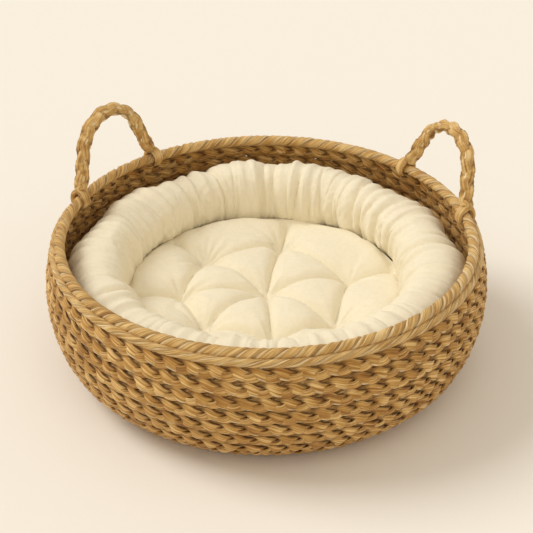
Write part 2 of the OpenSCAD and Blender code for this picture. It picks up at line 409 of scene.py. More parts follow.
class Strands:
    """Swept strands gathered into one mesh, with what the straw material reads from it."""

    def __init__(self, section=SECTION):
        self.section = section
        self.vertices, self.tones, self.pits, self.leads = [], [], [], []
        self.quads, self.quad_fibres = [], []
        self.triangles, self.triangle_fibres = [], []
        self.count = 0

    def add(self, points, outward, half_w, half_t, lift, lift_top, tone, closed, lead):
        """half_w, half_t, lift, tone and lead have one value for each point. lift is the strand's
        height over the middle of the plait or rope, and lift_top the highest that it gets; from these
        comes the painted shade in the deep parts. lead is 1 where the strand's first side gets a
        painted highlight, and -1 where that side gets painted shade, where it is tucked under."""
        direction, lengths, whole = measure(points, closed)
        up = unit(outward - (outward * direction).sum(1, keepdims=True) * direction)
        side = np.cross(up, direction)
        angle = TAU * np.arange(self.section) / self.section
        twist = TAU * lengths / whole * max(1, round(whole / RIDGE_TWIST)) + rng.uniform(0, TAU)
        ridge = 1 + RIDGE_DEPTH * np.cos(RIDGES * angle[None, :] + twist[:, None])
        across = half_w[:, None] * boxy(np.cos(angle)) * ridge
        over = half_t[:, None] * boxy(np.sin(angle)) * ridge
        rings = points[:, None] + across[..., None] * side[:, None] + over[..., None] * up[:, None]
        # Painted shade: 1 where a strand lies deepest in the plait or rope, 0 at its highest.
        pit = 1 - np.abs(lift[:, None] + half_t[:, None] * np.sin(angle)) / lift_top
        start = rng.uniform(0, FIBRE_STARTS)

        count = len(points)
        steps = np.append(lengths, whole) if closed else lengths
        fibres = np.empty((len(steps), self.section + 1, 3))
        fibres[..., 0] = start + steps[:, None]
        around = TAU * np.arange(self.section + 1) / self.section
        fibres[..., 1] = FIBRE_RADIUS * np.cos(around)
        fibres[..., 2] = FIBRE_RADIUS * np.sin(around) + start
        row = np.arange(count if closed else count - 1)[:, None]
        column = np.arange(self.section)[None, :]
        corners = ((row, column), (row, column + 1), (row + 1, column + 1), (row + 1, column))
        quads = [(r % count) * self.section + c % self.section for r, c in corners]
        self.quads.append(self.count + np.stack(quads, -1).reshape(-1, 4))
        fibre_corners = [fibres[r, c] for r, c in corners]
        self.quad_fibres.append(np.stack(fibre_corners, 2).reshape(-1, 4, 3))

        self.vertices.append(rings.reshape(-1, 3))
        self.tones.append(np.repeat(tone, self.section))
        self.pits.append(np.clip(pit, 0, 1).ravel())
        self.leads.append((lead[:, None] * np.cos(angle)).ravel())
        self.count += count * self.section
        if not closed:
            self._cap(points[0], 0, fibres[0], tone[0], flip=True)
            self._cap(points[-1], count - 1, fibres[-1], tone[-1], flip=False)

    def _cap(self, middle, ring, fibres, tone, flip):
        first = self._last_start() + ring * self.section
        column = np.arange(self.section)
        a, b = first + column, first + (column + 1) % self.section
        centre = np.full(self.section, self.count)
        order = (centre, b, a) if flip else (centre, a, b)
        self.triangles.append(np.stack(order, -1))
        fibre = np.stack([fibres[column], fibres[column], fibres[column + 1]], 1)
        self.triangle_fibres.append(fibre)
        self.vertices.append(np.asarray(middle, float)[None])
        self.tones.append(np.array([tone]))
        self.pits.append(np.array([1.0]))
        self.leads.append(np.array([0.0]))
        self.count += 1

    def _last_start(self):
        """Index of the first vertex of the strand that was added last."""
        ends = [len(v) for v in self.vertices]
        strand = max(i for i, n in enumerate(ends) if n > 1)
        return sum(ends[:strand])

    def finish(self, name, material):
        vertices = np.concatenate(self.vertices)
        quads = np.concatenate(self.quads)
        loops = quads.ravel()
        starts = np.arange(len(quads)) * 4
        fibres = np.concatenate(self.quad_fibres).reshape(-1, 3)
        if self.triangles:
            triangles = np.concatenate(self.triangles)
            starts = np.concatenate([starts, len(loops) + np.arange(len(triangles)) * 3])
            loops = np.concatenate([loops, triangles.ravel()])
            fibres = np.concatenate([fibres, np.concatenate(self.triangle_fibres).reshape(-1, 3)])
        piece = mesh_object(name, vertices, loops, starts, material)
        store(piece.data, "fibre", "FLOAT_VECTOR", "CORNER", fibres)
        store(piece.data, "tone", "FLOAT", "POINT", np.concatenate(self.tones))
        store(piece.data, "pit", "FLOAT", "POINT", np.concatenate(self.pits))
        store(piece.data, "lead", "FLOAT", "POINT", np.concatenate(self.leads))
        return piece


# Descending strands get a painted highlight on one edge and painted shade on the other; LEAD_STEEPNESS
# sets how much of them.
LEAD_STEEPNESS = 1.6
ROLL_AT_MIDDLE = 0.4


def plait_strand(base, across, outward, phase, plait):
    """One strand of a three-strand plait: its middle line, its height over the plait's middle, the
    direction that its flat side faces, and which of its sides leads. It crosses over from each edge
    to the middle and under from the middle to the other edge. plait["fold"] and plait["crisp"] set
    how sharply it turns back at the edges."""
    reach = (plait["width"] - plait["strand_w"]) / 2
    rise = (plait["thickness"] - plait["strand_t"]) / 2
    bend = np.sqrt(np.cos(phase) ** 2 + plait["fold"] ** 2)
    folded = np.sin(phase) * (1 - bend / math.sqrt(1 + plait["fold"] ** 2)) / (1 - plait["fold"])
    sharp = np.sign(folded) * np.sqrt(np.abs(folded))
    shape = plait["crisp"] * sharp + (1 - plait["crisp"]) * np.sin(phase)
    shift = reach * (shape - plait["skew"] * np.cos(phase) ** 2)
    lift = -rise * np.sin(2 * phase)
    roll = -math.radians(plait["roll"]) * np.sin(2 * phase)
    roll *= ROLL_AT_MIDDLE + (1 - ROLL_AT_MIDDLE) * np.abs(np.sin(phase))
    tipped = np.sin(roll) * np.sign(np.sin(phase))
    facing = outward * np.cos(roll)[:, None] + across * tipped[:, None]
    lead = np.clip(LEAD_STEEPNESS * np.cos(phase), -1, 0)
    return base + shift[:, None] * across + lift[:, None] * outward, lift, facing, lead


def add_plait(strands, base, across, outward, closed, plait):
    _, lengths, whole = measure(base, closed)
    periods = whole / plait["period"]
    if closed:
        periods = round(periods)
    start = rng.uniform(0, TAU)
    sway = wander(len(base), waves=8, size=plait["sway"], highest=24)
    for k in range(3):
        phase = start + TAU * (periods * lengths / whole + k / 3) + sway
        points, lift, facing, lead = plait_strand(base, across, outward, phase, plait)
        count = len(base)
        half_w = plait["strand_w"] / 2 * (1 + wander(count, waves=14, size=0.05, highest=90))
        half_t = plait["strand_t"] / 2 * (1 + wander(count, waves=14, size=0.05, highest=90))
        tone = 0.5 + wander(count, waves=14, size=0.2, highest=60)
        strands.add(points, facing, half_w, half_t, lift, plait["thickness"] / 2, tone, closed, lead)


# ---- The basket ----

WALL_COURSES = 10
WALL_PLAIT = dict(width=20.2, thickness=9.6, strand_w=11.7, strand_t=3.8, skew=0.3,
                  fold=0.25, crisp=0.6, roll=22, period=67.5, sway=0.08)
BASE_PLAIT = dict(WALL_PLAIT, width=19.5, thickness=8.8, strand_t=4.4, skew=0.0, roll=10)
SAMPLES_PER_PERIOD = 26
WALL_LEAN = math.radians(5)
COIL_PITCH = 17.0
COIL_EDGE = 182.0
COIL_FIRST_TURN = 0.38
COIL_OVERLAP = 0.15
COIL_STEPS_PER_TURN = 3000
COIL_SAMPLES_PER_PERIOD = 22
# Each rope's plies, the length of its twist, and a ply's offset and half width as shares of its radius.
RIM_ROPE = dict(plies=2, pitch=38, ply_offset=0.44, ply_half_w=0.86)
BINDER_ROPE = dict(plies=3, pitch=72, ply_offset=0.48, ply_half_w=0.72)
ROPE_FULLER = 1.16
# Each ply gets a painted highlight along one side and painted shade along the other.
ROPE_LEAD = 0.8
ROPE_SAMPLES_PER_TURN = 26
# Where a handle's foot presses the rope to (outwards, upwards), how far, and how flat it and its
# plies get.
FOOT_PRESS = np.array([7.0, -6.1])
FOOT_SHIFT = 2.6
ROPE_FLATTENED = 0.75
PLY_FLATTENED = 0.72


def section_of(node):
    """Middle (radius, height) and the tilt of the long side of a ring-shaped CAD node's section."""
    co = points_of(frame["nodes"][node].data) / MM
    points = np.stack([np.hypot(co[:, 0], co[:, 1]), co[:, 2]], 1)
    middle = (points.min(0) + points.max(0)) / 2
    _, vectors = np.linalg.eigh(np.cov((points - middle).T))
    along = vectors[:, 1]
    if along[0] + along[1] * 10 < 0:
        along = -along
    return middle, along


def ring_frame(count, middle, along):
    """Points round a ring, with its section's long direction and its outward direction."""
    theta = math.pi / 2 + TAU * np.arange(count) / count
    radial = np.stack([np.cos(theta), np.sin(theta), np.zeros(count)], 1)
    upward = np.array([0, 0, 1.0])
    base = middle[0] * radial + middle[1] * upward
    across = along[0] * radial + along[1] * upward
    outward = along[1] * radial - along[0] * upward
    return base, across, outward


def add_wall_course(number, material):
    node = f"wall_course_{number:02d}"
    middle, along = section_of(node)
    lean = np.array([[math.cos(WALL_LEAN), math.sin(WALL_LEAN)],
                     [-math.sin(WALL_LEAN), math.cos(WALL_LEAN)]])
    along = lean @ along
    periods = round(TAU * middle[0] / WALL_PLAIT["period"])
    base, across, outward = ring_frame(periods * SAMPLES_PER_PERIOD, middle, along)
    strands = Strands()
    add_plait(strands, base, across, outward, True, WALL_PLAIT)
    piece = strands.finish(f"plait_course_{number:02d}", material)
    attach(piece, "basket")
    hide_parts(node)


def coil_radius(turns):
    """The base's spiral, which keeps to one radius for its last part, at the edge."""
    return np.minimum(turns * COIL_PITCH, COIL_EDGE - COIL_PITCH / 2)


def add_base(material):
    low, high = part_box("base_coil")
    last_turn = COIL_EDGE / COIL_PITCH + COIL_OVERLAP
    turns = np.arange(COIL_FIRST_TURN, last_turn, 1 / COIL_STEPS_PER_TURN)
    steps = TAU * coil_radius(turns)[:-1] / COIL_STEPS_PER_TURN
    walked = np.concatenate([[0], np.cumsum(steps)])
    count = int(walked[-1] / BASE_PLAIT["period"] * COIL_SAMPLES_PER_PERIOD)
    turns = np.interp(np.linspace(0, walked[-1], count), walked, turns)
    theta = TAU * turns
    across = np.stack([np.cos(theta), np.sin(theta), np.zeros(count)], 1)
    height = (low.z + high.z) / 2 / MM
    base = across * coil_radius(turns)[:, None] + np.array([0, 0, height])
    outward = np.tile([0, 0, -1.0], (count, 1))
    strands = Strands(section=12)
    add_plait(strands, base, across, outward, False, BASE_PLAIT)
    piece = strands.finish("plait_base", material)
    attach(piece, "basket")
    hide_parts("base_coil")


def rope_ring(name, node, rope, material, pressed_at=None):
    """A twisted rope on the ring of a CAD node. pressed_at takes angles, and gives 1 where a
    handle's foot presses the rope flat and away, and 0 elsewhere."""
    low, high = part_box(node)
    rope_r = (high.z - low.z) / 2 / MM
    middle = np.array([high.x / MM - rope_r, (low.z + high.z) / 2 / MM])
    rope_r *= ROPE_FULLER
    turns = round(TAU * middle[0] / rope["pitch"])
    count = turns * ROPE_SAMPLES_PER_TURN
    theta = TAU * np.arange(count) / count + math.pi / 2
    radial = np.stack([np.cos(theta), np.sin(theta), np.zeros(count)], 1)
    upward = np.array([0, 0, 1.0])
    squeeze = np.zeros(count) if pressed_at is None else pressed_at(theta)
    away = FOOT_PRESS / math.hypot(*FOOT_PRESS)
    press = away[0] * radial + away[1] * upward
    centre = middle[0] * radial + middle[1] * upward + (FOOT_SHIFT * squeeze)[:, None] * press
    ply_offset = rope_r * rope["ply_offset"]
    strands = Strands(section=16)
    for k in range(rope["plies"]):
        turn = turns * (theta - math.pi / 2) + TAU * k / rope["plies"]
        turn = turn + wander(count, waves=8, size=0.10, highest=40)
        spoke = np.cos(turn)[:, None] * radial + np.sin(turn)[:, None] * upward
        pressed = (spoke * press).sum(1)
        arm = ply_offset * (spoke - (ROPE_FLATTENED * squeeze * pressed)[:, None] * press)
        half_w = rope_r * rope["ply_half_w"] * (1 + wander(count, waves=12, size=0.04, highest=90))
        half_t = (rope_r - ply_offset) * (1 + wander(count, waves=12, size=0.03, highest=90))
        half_t = half_t * (1 - PLY_FLATTENED * squeeze)
        tone = 0.55 + wander(count, waves=14, size=0.2, highest=60)
        lift = np.full(count, ply_offset)
        strands.add(centre + arm, spoke, half_w, half_t, lift, rope_r, tone, True,
                    np.full(count, ROPE_LEAD))
    piece = strands.finish(name, material)
    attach(piece, "basket")
    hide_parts(node)


# ---- Handles ----

FOOT_HALF_SPAN = 66.0
ARCH_R = 50.0
CORE_WIRE_R = 1.5
CORE_TOP_BAND = 0.6
HANDLE_PLAIT = dict(width=17.0, thickness=12.6, strand_w=10.8, strand_t=7.0, skew=0.0,
                    fold=0.25, crisp=0.0, roll=12, period=66.0, sway=0.08)
HANDLE_START = 15.0
ARCH_SAMPLES = 400
KEEP_EVERY = 4
HANDLE_SAMPLES = 620
# The plait's face looks in over the basket, turned this far away from the arch's middle and, on the
# last part, towards it. It changes over from one share of the length on, within the other.
FACE_TURN = math.radians(52)
FACE_TURN_FROM = 0.60
FACE_TURN_OVER = 0.26


def handle_frame(side):
    """Origin between the feet, the handle's own axes, which are along the chord, outwards and up
    the arch, and the arch's height."""
    name = "handle_left" if side < 0 else "handle_right"
    joint = next(j for j in frame["joints"] if j["name"] == name + "_fold")
    origin = np.array(joint["pos_m"]) / MM
    outward = unit(np.array([origin[0], origin[1], 0.0]))
    chord = np.array([outward[1], -outward[0], 0.0])
    core = points_of(frame["nodes"][name + "_core"].data) / MM - origin
    top = core[core[:, 2] > core[:, 2].max() - CORE_TOP_BAND].mean(0)
    top[2] -= CORE_WIRE_R
    up = top - (top @ chord) * chord
    height = np.linalg.norm(up)
    up = up / height
    return origin, chord, np.cross(up, chord), up, height


def foot_angles():
    """Where the four feet stand on the rim, as angles."""
    angles = []
    for side in (-1, 1):
        origin, chord, _, _, _ = handle_frame(side)
        for end in (-1, 1):
            foot = origin + end * FOOT_HALF_SPAN * chord
            angles.append(math.atan2(foot[1], foot[0]))
    return angles


def near_foot(theta, half_length=5.5, fade=11.0):
    """1 along the rim at a foot, falling to 0 over a length to each side of it."""
    _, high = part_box("rim_rope")
    closest = np.full(len(theta), 1e9)
    for angle in foot_angles():
        gap = np.abs((theta - angle + math.pi) % TAU - math.pi) * high.x / MM
        closest = np.minimum(closest, gap)
    return 1 - smooth_step((closest - half_length) / fade)


def arch_line(count, height):
    """The arch's middle line in the handle's own frame, from the foot at -x to the foot at +x,
    and the direction across the plait, which points away from the arch's centre."""
    centre_z = height - ARCH_R
    reach = math.hypot(FOOT_HALF_SPAN, centre_z)
    slope = math.acos(ARCH_R / reach) - math.atan2(centre_z, FOOT_HALF_SPAN)
    leg = math.sqrt(reach ** 2 - ARCH_R ** 2)
    arc = ARCH_R * (math.pi - 2 * slope)
    s = np.linspace(0, 2 * leg + arc, count)
    on_arc = np.clip((s - leg) / ARCH_R, 0, arc / ARCH_R)
    turn = math.pi - slope - on_arc
    points = np.stack([ARCH_R * np.cos(turn), np.zeros(count), centre_z + ARCH_R * np.sin(turn)], 1)
    across = np.stack([np.cos(turn), np.zeros(count), np.sin(turn)], 1)
    heading = np.stack([np.sin(turn), np.zeros(count), -np.cos(turn)], 1)
    points += (np.minimum(s - leg, 0) + np.maximum(s - leg - arc, 0))[:, None] * heading
    return s, points, across


def smooth_path(points, values, count):
    """A Catmull-Rom curve through points, with values carried along it."""
    stacked = np.concatenate([points, values], 1)
    ends = np.concatenate([[2 * stacked[0] - stacked[1]], stacked, [2 * stacked[-1] - stacked[-2]]])
    t = np.linspace(0, len(points) - 1, count)
    i = np.minimum(t.astype(int), len(points) - 2)
    u = (t - i)[:, None]
    a, b, c, d = ends[i], ends[i + 1], ends[i + 2], ends[i + 3]
    curve = 0.5 * (2 * b + (c - a) * u + (2 * a - 5 * b + 4 * c - d) * u ** 2
                   + (3 * b - a - 3 * c + d) * u ** 3)
    return curve[:, :3], curve[:, 3:]


def wrap(end, strand):
    """Points, outward directions, half sizes, lead and lift of a strand's end, from the plait down
    round the rim rope. Strand 0 goes round the outside, 1 round the inside, and 2 ends on top,
    between them. Each place is an angle round the rope, a radius, a half width and a half thickness."""
    if strand == 2:
        places = [(90, 12.0, 5.2, 3.2), (90, 9.0, 4.8, 2.0)]
    else:
        places = [(76, 12.0, 5.2, 3.2), (50, 10.4, 5.8, 2.9), (22, 9.6, 6.2, 2.5), (-8, 9.3, 6.4, 2.2),
                  (-38, 9.1, 6.2, 2.1), (-64, 8.9, 5.6, 1.8), (-84, 8.6, 3.6, 1.2)]
    rows = []
    for turn, radius, half_w, half_t in places:
        a = math.radians(turn if strand != 1 else 180 - turn)
        normal = [0, math.cos(a), math.sin(a)]
        rows.append([end * FOOT_HALF_SPAN, radius * normal[1], radius * normal[2],
                     *normal, half_w, half_t, 0.0, 0.5 * HANDLE_PLAIT["thickness"]])
    return np.array(rows)


def add_handle(side, material):
    body = "handle_left" if side < 0 else "handle_right"
    origin, chord, out, up, height = handle_frame(side)
    s, line, away = arch_line(ARCH_SAMPLES, height)
    inside = np.tile([0, -1.0, 0], (len(s), 1))
    walked = s / s[-1] if side < 0 else 1 - s / s[-1]
    changed = smooth_step((walked - FACE_TURN_FROM) / FACE_TURN_OVER)
    turned = (FACE_TURN * (1 - 2 * changed))[:, None]
    facing_out = inside * np.cos(turned) + away * np.sin(turned)
    across = away * np.cos(turned) - inside * np.sin(turned)
    keep = (s > HANDLE_START) & (s < s[-1] - HANDLE_START)
    start = rng.uniform(0, TAU)
    middles = []
    for k in range(3):
        phase = start + TAU * (s / HANDLE_PLAIT["period"] + k / 3)
        points, lift, facing, lead = plait_strand(line, across, facing_out, phase, HANDLE_PLAIT)
        sizes = np.tile([HANDLE_PLAIT["strand_w"] / 2, HANDLE_PLAIT["strand_t"] / 2], (len(s), 1))
        rows = np.concatenate([points, facing, sizes, lead[:, None], lift[:, None]], 1)
        middles.append(rows[keep][::KEEP_EVERY])
    outermost_first = [np.argsort([-rows[end, 1] for rows in middles]) for end in (0, -1)]
    wrap_of_rank = (0, 2, 1)
    to_world = np.stack([chord, out, up])
    strands = Strands(section=20)
    for k, rows in enumerate(middles):
        first, last = (wrap_of_rank[list(order).index(k)] for order in outermost_first)
        rows = np.concatenate([wrap(-1, first)[::-1], rows, wrap(1, last)])
        curve, values = smooth_path(rows[:, :3], rows[:, 3:], HANDLE_SAMPLES)
        count = len(curve)
        half_w, half_t, lead, lift = values[:, 3:].T
        half_w = half_w * (1 + wander(count, waves=12, size=0.04, highest=60))
        half_t = half_t * (1 + wander(count, waves=12, size=0.04, highest=60))
        tone = 0.5 + wander(count, waves=12, size=0.2, highest=40)
        strands.add(origin + curve @ to_world, unit(values[:, :3]) @ to_world, half_w, half_t,
                    lift, HANDLE_PLAIT["thickness"] / 2, tone, False, lead)
    piece = strands.finish("plaited_" + body, material)
    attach(piece, body)
    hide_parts(body)


# ---- Cushion ----

BOLSTER_AROUND = 240
BOLSTER_SECTION = 40
FINE_AROUND = 1080
FINE_SECTION = 84
BOLSTER_SQUARENESS = 2.3
BOLSTER_BULGE = 8.5
BOLSTER_INNER_BULGE = 4.0
BOLSTER_INSET = 1.0
BOLSTER_WADDING_GAP = 9.0
SEWN_ANGLE = 0.5
# Creases of the bolster's cover: how many, their depths, their half widths in radians round the
# ring, and the share of the depth that is left at the crest.
LONG_GATHERS = dict(count=44, depths=(2.5, 8.5), widths=(0.012, 0.032), faint=0.22)
FINE_GATHERS = dict(count=120, depths=(0.8, 2.6), widths=(0.006, 0.012), faint=0.15)
# A crease strays this far from its even place, slants and bows at random, reaches this far up from
# each seam and fades out over this much.
GATHER_STRAY = 0.36
GATHER_SLANT = 0.09
GATHER_BOW = 0.06
REACH_FROM_INSIDE = (0.7, 1.6)
REACH_FROM_OUTSIDE = (0.5, 1.4)
GATHER_FADE = 0.6
RIPPLES = 7
RIPPLE_DEPTH = 0.45
# The share of the creases' depth that is left at the inner seam, and how far the cover stands out
# between them.
INNER_GATHERS = 0.4
COVER_SWELL = 1.5
PAD_CELLS = 96
PAD_EDGE_R = 162.0
PAD_EDGE_Z = 78.5
PAD_TOP_Z = 86.0
PAD_TUCK = 18.0
PAD_UNDER_R = 160.0
PAD_WADDING_GAP = 4.0
# Before the pad is inflated: the reach of a dimple, and the depth and reach of a crease.
DIMPLE_REACH = 15.0
FIRST_CREASE_DEPTH = 6.0
FIRST_CREASE_REACH = 8.0
# Afterwards: the depth and reach of a crease, and of the pit at a tuft.
CREASE_DEPTH = 6.2
CREASE_REACH = 3.4
PIT_DEPTH = 6.0
PIT_REACH = 5.0
PUCKER_HEIGHT = 1.2
PUCKER_START = 12
PUCKER_REACH = 20
# Two tuft threads are never as close as this.
TUFT_SPACING = 10
TUFT_HELD_R = 3.2
TUFT_BOTTOM_Z = 62.0
TUFT_KNOT_Z = 57.5
THREAD_R = 0.8
THREAD_SAMPLES = 12
KNOT_R = 1.5
KNOT_THREAD_R = 0.9
KNOT_SAMPLES = 16


def bolster_outline(count):
    """Points round the bolster's section as (sideways, upwards) from -1 to 1, from the bottom,
    outside first, and the direction that the cover faces there, as an angle."""
    t = TAU * np.arange(count) / count - math.pi / 2
    power = 2 / BOLSTER_SQUARENESS
    sideways = np.sign(np.cos(t)) * np.abs(np.cos(t)) ** power
    upwards = np.sign(np.sin(t)) * np.abs(np.sin(t)) ** power
    return sideways, upwards, t


def gather_depth(theta, height, count, depths, widths, faint):
    """How far the cover is drawn in by a number of narrow creases, deepest at the seams and faint
    at the crest. height is 0 at the inner seam, 1 at the crest and 2 at the outer seam."""
    depth = np.zeros(np.broadcast(theta, height).shape)
    places = (np.arange(count) + rng.uniform(-GATHER_STRAY, GATHER_STRAY, count)) * TAU / count
    for place in places:
        slant = rng.uniform(-GATHER_SLANT, GATHER_SLANT)
        bow = rng.uniform(-GATHER_BOW, GATHER_BOW)
        width = rng.uniform(*widths)
        strength = rng.uniform(*depths)
        from_inside = rng.uniform(*REACH_FROM_INSIDE)
        from_outside = rng.uniform(*REACH_FROM_OUTSIDE)
        line = place + slant * (height - 1) + bow * np.cos(height * math.pi / 2)
        gap = np.abs((theta - line + math.pi) % TAU - math.pi)
        reach = np.maximum(smooth_step((from_inside - height) / GATHER_FADE),
                           smooth_step((from_outside - (2 - height)) / GATHER_FADE))
        depth += strength * np.maximum(reach, faint) * np.exp(-gap / width)
    return depth


def grid_object(name, grid, material):
    """A mesh from rows of points that close in both directions."""
    rows, columns = grid.shape[:2]
    i, j = np.meshgrid(np.arange(rows), np.arange(columns), indexing="ij")
    following_i, following_j = (i + 1) % rows, (j + 1) % columns
    quads = np.stack([i * columns + j, following_i * columns + j,
                      following_i * columns + following_j, i * columns + following_j], -1)
    quads = quads.reshape(-1, 4)
    return mesh_object(name, grid.reshape(-1, 3), quads.ravel(), np.arange(len(quads)) * 4, material)


def inflate(piece, held, pressure, growth, cap, frames=20):
    """Blows a cover up with the cloth solver. held has 1 for each point that is sewn down, and no
    point moves further than cap. The result is applied, so that no Cloth modifier is left."""
    mesh = piece.data
    before = points_of(mesh)
    group = piece.vertex_groups.new(name="held")
    for weight in np.unique(held[held > 0]):
        group.add([int(i) for i in np.flatnonzero(held == weight)], float(weight), "REPLACE")
    cloth = piece.modifiers.new("Cloth", "CLOTH")
    settings = cloth.settings
    settings.quality = 5
    settings.mass = 0.15
    settings.tension_stiffness = 15
    settings.compression_stiffness = 15
    settings.shear_stiffness = 5
    settings.bending_stiffness = 0.05
    settings.use_pressure = True
    settings.uniform_pressure_force = pressure
    settings.vertex_group_mass = "held"
    settings.shrink_min = -growth
    settings.effector_weights.gravity = 0
    cloth.collision_settings.use_collision = False
    cloth.point_cache.frame_start = 1
    cloth.point_cache.frame_end = frames
    scene = bpy.context.scene
    for step in range(1, frames + 1):
        scene.frame_set(step)
    evaluated = piece.evaluated_get(bpy.context.evaluated_depsgraph_get())
    moved = points_of(evaluated.data) - before
    piece.modifiers.remove(cloth)
    piece.vertex_groups.remove(group)
    distance = np.linalg.norm(moved, axis=1, keepdims=True)
    moved *= np.minimum(1, cap * MM / np.maximum(distance, 1e-9))
    move_points(mesh, before + moved)
    scene.frame_set(1)


def swap_mesh(piece, mesh):
    """Gives a piece a finer mesh and deletes its coarse one."""
    coarse = piece.data
    piece.data = mesh
    bpy.data.meshes.remove(coarse)
    mesh.name = piece.name


def subdivide(piece):
    """One level of subdivision, applied."""
    modifier = piece.modifiers.new("Subdivision", "SUBSURF")
    modifier.levels = 1
    modifier.render_levels = 1
    evaluated = piece.evaluated_get(bpy.context.evaluated_depsgraph_get())
    smooth = bpy.data.meshes.new_from_object(evaluated)
    piece.modifiers.remove(modifier)
    swap_mesh(piece, smooth)


def add_wadding(name, cover, node, material, gap):
    """The filling: the shape that the cover has so far, a little inside it."""
    mesh = cover.data.copy()
    mesh.name = name
    normals = np.empty(len(mesh.vertices) * 3, np.float32)
    mesh.vertex_normals.foreach_get("vector", normals)
    inside = points_of(mesh) - normals.reshape(-1, 3) * gap * MM
    move_points(mesh, inside)
    mesh.materials.clear()
    mesh.materials.append(material)
    piece = add_object(name, mesh)
    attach(piece, "cushion")
    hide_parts(node)


def resample(values, count, axis):
    """Finer samples of a periodic grid, by Fourier series."""
    old = values.shape[axis]
    return np.fft.irfft(np.fft.rfft(values, axis=axis), n=count, axis=axis) * (count / old)


def add_bolster(cotton, wadding):
    low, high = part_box("bolster_cover")
    seam_low, seam_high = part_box("bolster_seam")
    middle_r = (seam_high.x - (seam_high.z - seam_low.z) / 2) / MM
    inner_r = 2 * middle_r - high.x / MM - BOLSTER_INNER_BULGE
    bottom, top = low.z / MM, high.z / MM
    theta = TAU * np.arange(BOLSTER_AROUND) / BOLSTER_AROUND
    sideways, upwards, facing = bolster_outline(BOLSTER_SECTION)
    pulled_in = near_foot(theta, half_length=16, fade=30)
    outer_r = high.x / MM + BOLSTER_BULGE - (BOLSTER_BULGE - 1) * pulled_in
    centre_r = (inner_r + outer_r)[:, None] / 2
    half_r = (outer_r - inner_r)[:, None] / 2 - BOLSTER_INSET
    half_z = (top - bottom) / 2 - BOLSTER_INSET / 2
    ring_r = centre_r + half_r * sideways
    ring_z = (top + bottom) / 2 + half_z * upwards * np.ones((BOLSTER_AROUND, 1))
    grid = np.stack([ring_r * np.cos(theta)[:, None], ring_r * np.sin(theta)[:, None], ring_z], -1)
    piece = grid_object("gathered_bolster", grid, cotton)
    underneath = (np.abs(facing + math.pi / 2) < SEWN_ANGLE).astype(float)
    inflate(piece, np.tile(underneath, BOLSTER_AROUND), pressure=3.5, growth=0.02, cap=3.0, frames=12)
    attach(piece, "cushion")
    add_wadding("bolster_wadding", piece, "bolster_filling", wadding, BOLSTER_WADDING_GAP)

    grid = points_of(piece.data).reshape(grid.shape) / MM
    grid = resample(resample(grid, FINE_AROUND, 0), FINE_SECTION, 1)
    theta = (TAU * np.arange(FINE_AROUND) / FINE_AROUND)[:, None]
    _, _, facing = bolster_outline(FINE_SECTION)
    height = (2 - ((facing + math.pi / 2) % TAU) / math.pi)[None, :]
    depth = gather_depth(theta, height, **LONG_GATHERS)
    depth += gather_depth(theta, height, **FINE_GATHERS)
    for _ in range(RIPPLES):
        waves = rng.integers(26, 70)
        lean = rng.uniform(-2.2, 2.2)
        depth += RIPPLE_DEPTH * np.cos(waves * theta + lean * height + rng.uniform(0, TAU))
    depth *= INNER_GATHERS + (1 - INNER_GATHERS) * smooth_step((height - 0.25) / 0.3)
    push = wander(FINE_AROUND, waves=10, size=1.2, highest=16)[:, None] + COVER_SWELL - depth
    push = push * smooth_step((np.abs(facing + math.pi / 2) - 0.15) / 0.5)[None, :]
    grid[..., 0] += push * np.cos(facing) * np.cos(theta)
    grid[..., 1] += push * np.cos(facing) * np.sin(theta)
    grid[..., 2] += push * np.sin(facing)
    fine = grid_object("fine_bolster", grid, cotton)
    swap_mesh(piece, fine.data)
    bpy.data.objects.remove(fine)
    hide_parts("bolster_cover")


def disc_grid(cells):
    """Points of a square grid laid evenly on a disc of radius 1, and its border, anticlockwise."""
    a = np.linspace(-1, 1, cells + 1)
    x, y = np.meshgrid(a, a, indexing="ij")
    wide = np.abs(x) >= np.abs(y)
    safe_x = np.where(x == 0, 1, x)
    safe_y = np.where(y == 0, 1, y)
    angle = np.where(wide, math.pi / 4 * y / safe_x + (x < 0) * math.pi,
                     math.pi / 2 - math.pi / 4 * x / safe_y + (y < 0) * math.pi)
    radius = np.maximum(np.abs(x), np.abs(y))
    index = np.arange((cells + 1) ** 2).reshape(cells + 1, cells + 1)
    border = np.concatenate([index[-1, :-1], index[:0:-1, -1], index[0, :0:-1], index[:-1, 0]])
    i, j = np.meshgrid(np.arange(cells), np.arange(cells), indexing="ij")
    quads = np.stack([index[i, j], index[i + 1, j], index[i + 1, j + 1], index[i, j + 1]], -1)
    points = np.stack([radius * np.cos(angle), radius * np.sin(angle)], -1).reshape(-1, 2)
    return points, border, quads.reshape(-1, 4)


def tuft_places():
    """Where the tuft threads stand, from the lower ends of the CAD node's threads."""
    co = points_of(frame["nodes"]["tuft_ties"].data) / MM
    feet = co[co[:, 2] < co[:, 2].min() + 1.0][:, :2]
    places = []
    for foot in feet:
        if all(np.hypot(*(foot - p)) > TUFT_SPACING for p in places):
            places.append(foot)
    return [feet[np.hypot(*(feet - p).T) < TUFT_SPACING].mean(0) for p in places]


def distance_to_segment(points, a, b):
    t = np.clip(((points - a) @ (b - a)) / ((b - a) @ (b - a)), 0, 1)
    return np.hypot(*(points - a - t[:, None] * (b - a)).T)


def tuft_distances(points, tufts):
    """Distance to the nearest tuft, and to the nearest crease: from the middle tuft to each outer
    one, between neighbours, and from each outer tuft to the pad's edge."""
    tufts = np.array(tufts)
    middle = tufts[np.argmin(np.hypot(*tufts.T))]
    outer = np.array([t for t in tufts if t is not middle and np.hypot(*(t - middle)) > 1])
    outer = outer[np.argsort(np.arctan2(outer[:, 1], outer[:, 0]))]
    nearest = np.stack([np.hypot(*(points - t).T) for t in tufts], 1).min(1)
    segments = [(middle, t) for t in outer]
    segments += list(zip(outer, np.roll(outer, -1, 0)))
    segments += [(t, unit(t) * PAD_EDGE_R) for t in outer]
    crease = np.stack([distance_to_segment(points, a, b) for a, b in segments], 1).min(1)
    return nearest, crease


